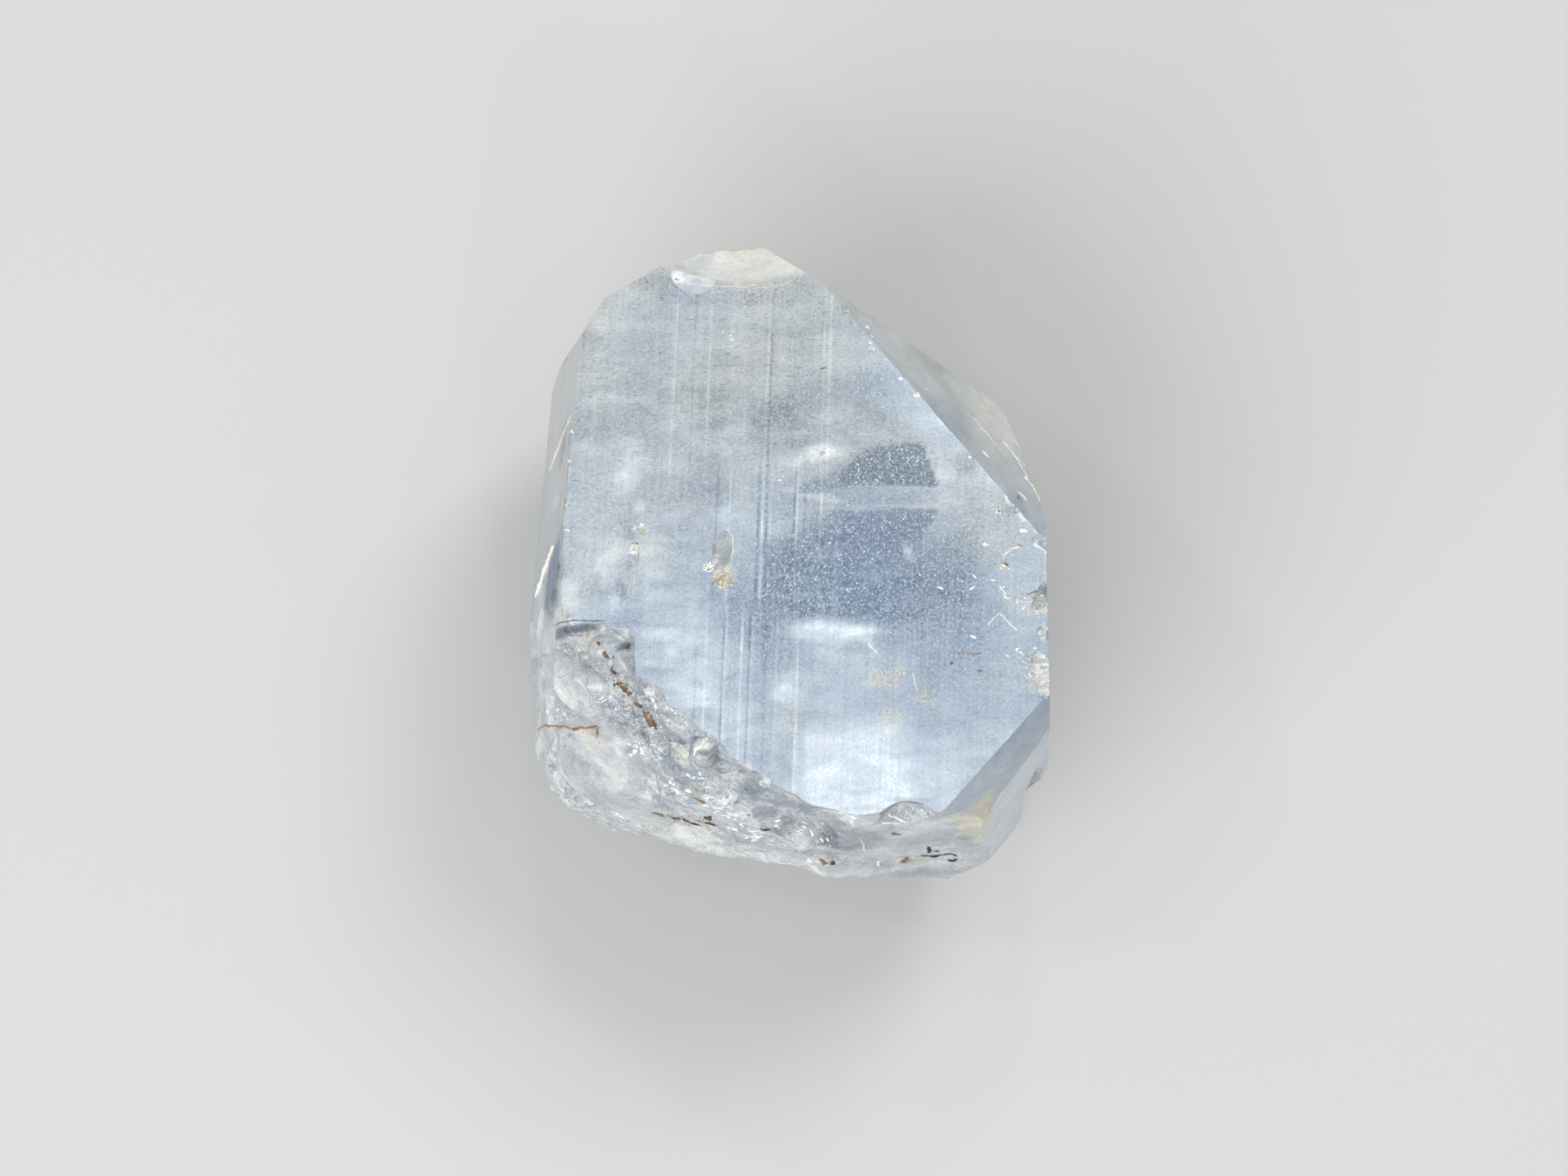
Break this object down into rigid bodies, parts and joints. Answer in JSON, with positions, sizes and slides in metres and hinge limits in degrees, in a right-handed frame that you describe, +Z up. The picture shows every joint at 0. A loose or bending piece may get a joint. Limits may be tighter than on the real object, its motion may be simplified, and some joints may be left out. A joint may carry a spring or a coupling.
{
  "type": "topaz crystal",
  "caption": "Colourless, clear natural crystal, flattened and lying on a flat prism face, with bevelled edges, a striated upper face and a rough broken base.",
  "frame": {"origin": "middle of the foot of the crystal's box, on the plane of the face it rests on", "axes": "+Y along the crystal's prism axis, from the broken base to the termination; +X to the right as seen with the termination away from the viewer; +Z up, out of the striated upper prism face"},
  "size_m": [0.0296, 0.0354, 0.021],
  "materials": {
    "colourless_topaz": "clear, faintly blue crystal, lightly frosted on the striated prism faces and glassy on the broken base"
  },
  "bodies": {
    "root": {"topaz_crystal": "colourless_topaz"}
  },
  "joints": []
}
